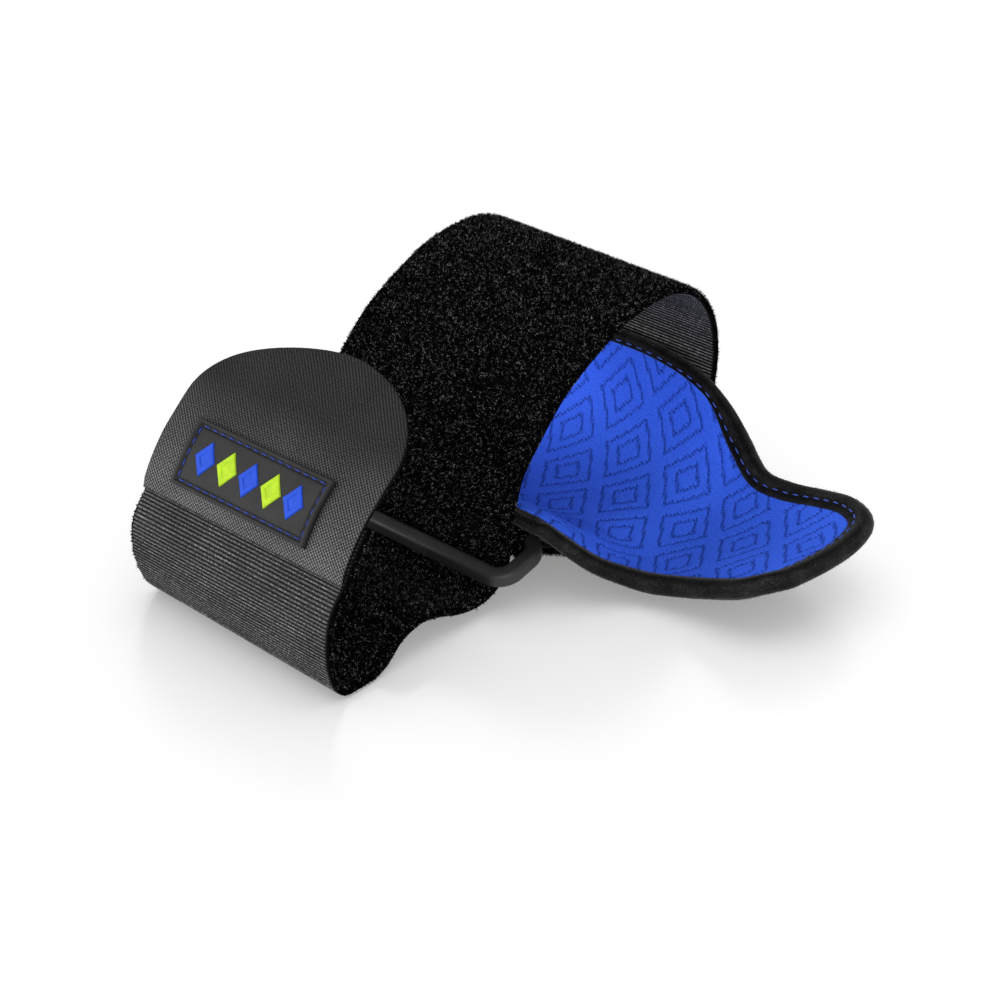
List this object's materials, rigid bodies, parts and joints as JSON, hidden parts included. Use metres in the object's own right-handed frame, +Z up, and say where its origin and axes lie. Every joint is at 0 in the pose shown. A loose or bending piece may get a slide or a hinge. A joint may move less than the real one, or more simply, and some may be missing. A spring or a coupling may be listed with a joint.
{
  "type": "wrist brace",
  "caption": "Open elastic wrist strap with brushed pile outside, run through a plastic ring to a round fastening tab, with a bound knit pad that lines the loop.",
  "frame": {"origin": "centre of the footprint, on the surface that the brace lies on", "axes": "+X along the wrist towards the lifted wing of the pad, +Y from the tab towards the back of the loop, +Z up"},
  "size_m": [0.1934, 0.1574, 0.0697],
  "materials": {
    "strap_fabric": "black brushed loop pile outside, dark grey ribbed elastic inside",
    "ring_plastic": "black moulded plastic, satin",
    "tab_fabric": "dark grey fine basket weave, hook tape on the back",
    "label_rubber": "dark grey soft rubber with a raised rim and a row of plain raised lozenges",
    "pad_knit": "blue knit with a sunk diamond pattern over foam, dark knit backing",
    "binding_fabric": "black soft knit edge binding with blue stitches"
  },
  "bodies": {
    "root": {"strap": "strap_fabric", "ring": "ring_plastic", "hook_tab": "tab_fabric", "label_patch": "label_rubber", "pad": "pad_knit", "pad_binding": "binding_fabric"}
  },
  "joints": []
}
